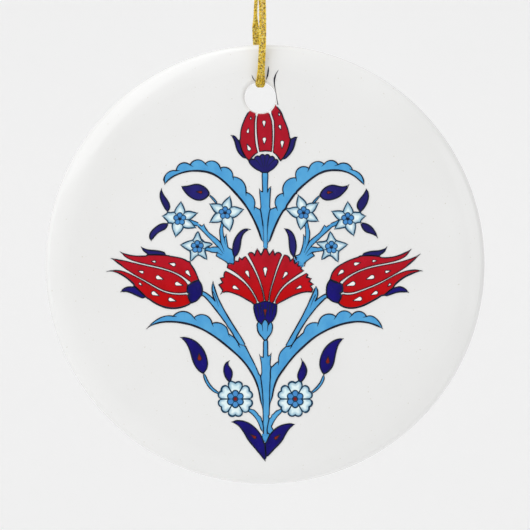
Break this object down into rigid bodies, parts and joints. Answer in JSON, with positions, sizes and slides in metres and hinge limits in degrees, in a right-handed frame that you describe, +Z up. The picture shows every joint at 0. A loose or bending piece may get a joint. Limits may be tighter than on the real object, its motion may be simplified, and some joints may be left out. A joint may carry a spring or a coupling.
{
  "type": "hanging ceramic ornament",
  "caption": "Flat round glazed ceramic disc with a pillowed rim, a painted flower spray in raised enamels and a hole near its top, hung on a knotted gold cord loop.",
  "frame": {"origin": "the hang point: the middle of the hook's wire, inside the cord loop just under its knot, straight above the hole's axis", "axes": "+Z up, the painted face towards -Y, +X to the right as the painted face is seen"},
  "size_m": [0.073, 0.007, 0.0955],
  "materials": {
    "glazed_body": "gloss",
    "red_enamel": "gloss",
    "cobalt_enamel": "gloss",
    "sky_enamel": "gloss",
    "pale_enamel": "gloss",
    "mid_blue_enamel": "gloss",
    "white_enamel": "gloss",
    "rust_enamel": "gloss",
    "ink_enamel": "gloss",
    "gold_cord": "satin"
  },
  "bodies": {
    "cord": {"hanging_cord": "gold_cord", "cord_knot": "gold_cord", "cord_tail_left": "gold_cord", "cord_tail_right": "gold_cord"},
    "disc": {"ceramic_disc": "glazed_body", "top_tulip_petals": "red_enamel", "left_tulip_petals": "red_enamel", "right_tulip_petals": "red_enamel", "carnation_petals": "red_enamel", "top_tulip_sepals": "cobalt_enamel", "top_tulip_calyx": "cobalt_enamel", "left_tulip_sepals": "cobalt_enamel", "left_tulip_calyx": "cobalt_enamel", "right_tulip_sepals": "cobalt_enamel", "right_tulip_calyx": "cobalt_enamel", "carnation_cup": "cobalt_enamel", "upper_left_leaves": "cobalt_enamel", "upper_right_leaves": "cobalt_enamel", "lower_left_leaves": "cobalt_enamel", "lower_right_leaves": "cobalt_enamel", "bottom_leaves": "cobalt_enamel", "carnation_calyx": "sky_enamel", "upper_left_plume": "sky_enamel", "upper_right_plume": "sky_enamel", "lower_left_plume": "sky_enamel", "lower_right_plume": "sky_enamel", "top_stem": "sky_enamel", "centre_stem": "sky_enamel", "left_tulip_stem": "sky_enamel", "right_tulip_stem": "sky_enamel", "left_spray_stems": "sky_enamel", "right_spray_stems": "sky_enamel", "rosette_stems": "sky_enamel", "left_star_flowers": "pale_enamel", "right_star_flowers": "pale_enamel", "rosette_petals": "pale_enamel", "star_flower_eyes": "mid_blue_enamel", "rosette_eyes": "mid_blue_enamel", "tulip_spots": "white_enamel", "carnation_spots": "white_enamel", "leaf_spots": "rust_enamel", "carnation_slit": "rust_enamel", "rosette_beads": "rust_enamel", "top_tulip_tips": "ink_enamel", "star_flower_hearts": "ink_enamel"}
  },
  "joints": [
    {"name": "disc_swing", "type": "hinge", "parent": "cord", "child": "disc", "pos_m": [0, 0, -0.02027], "axis": [0, 1, 0], "range_deg": [-60, 60]}
  ]
}
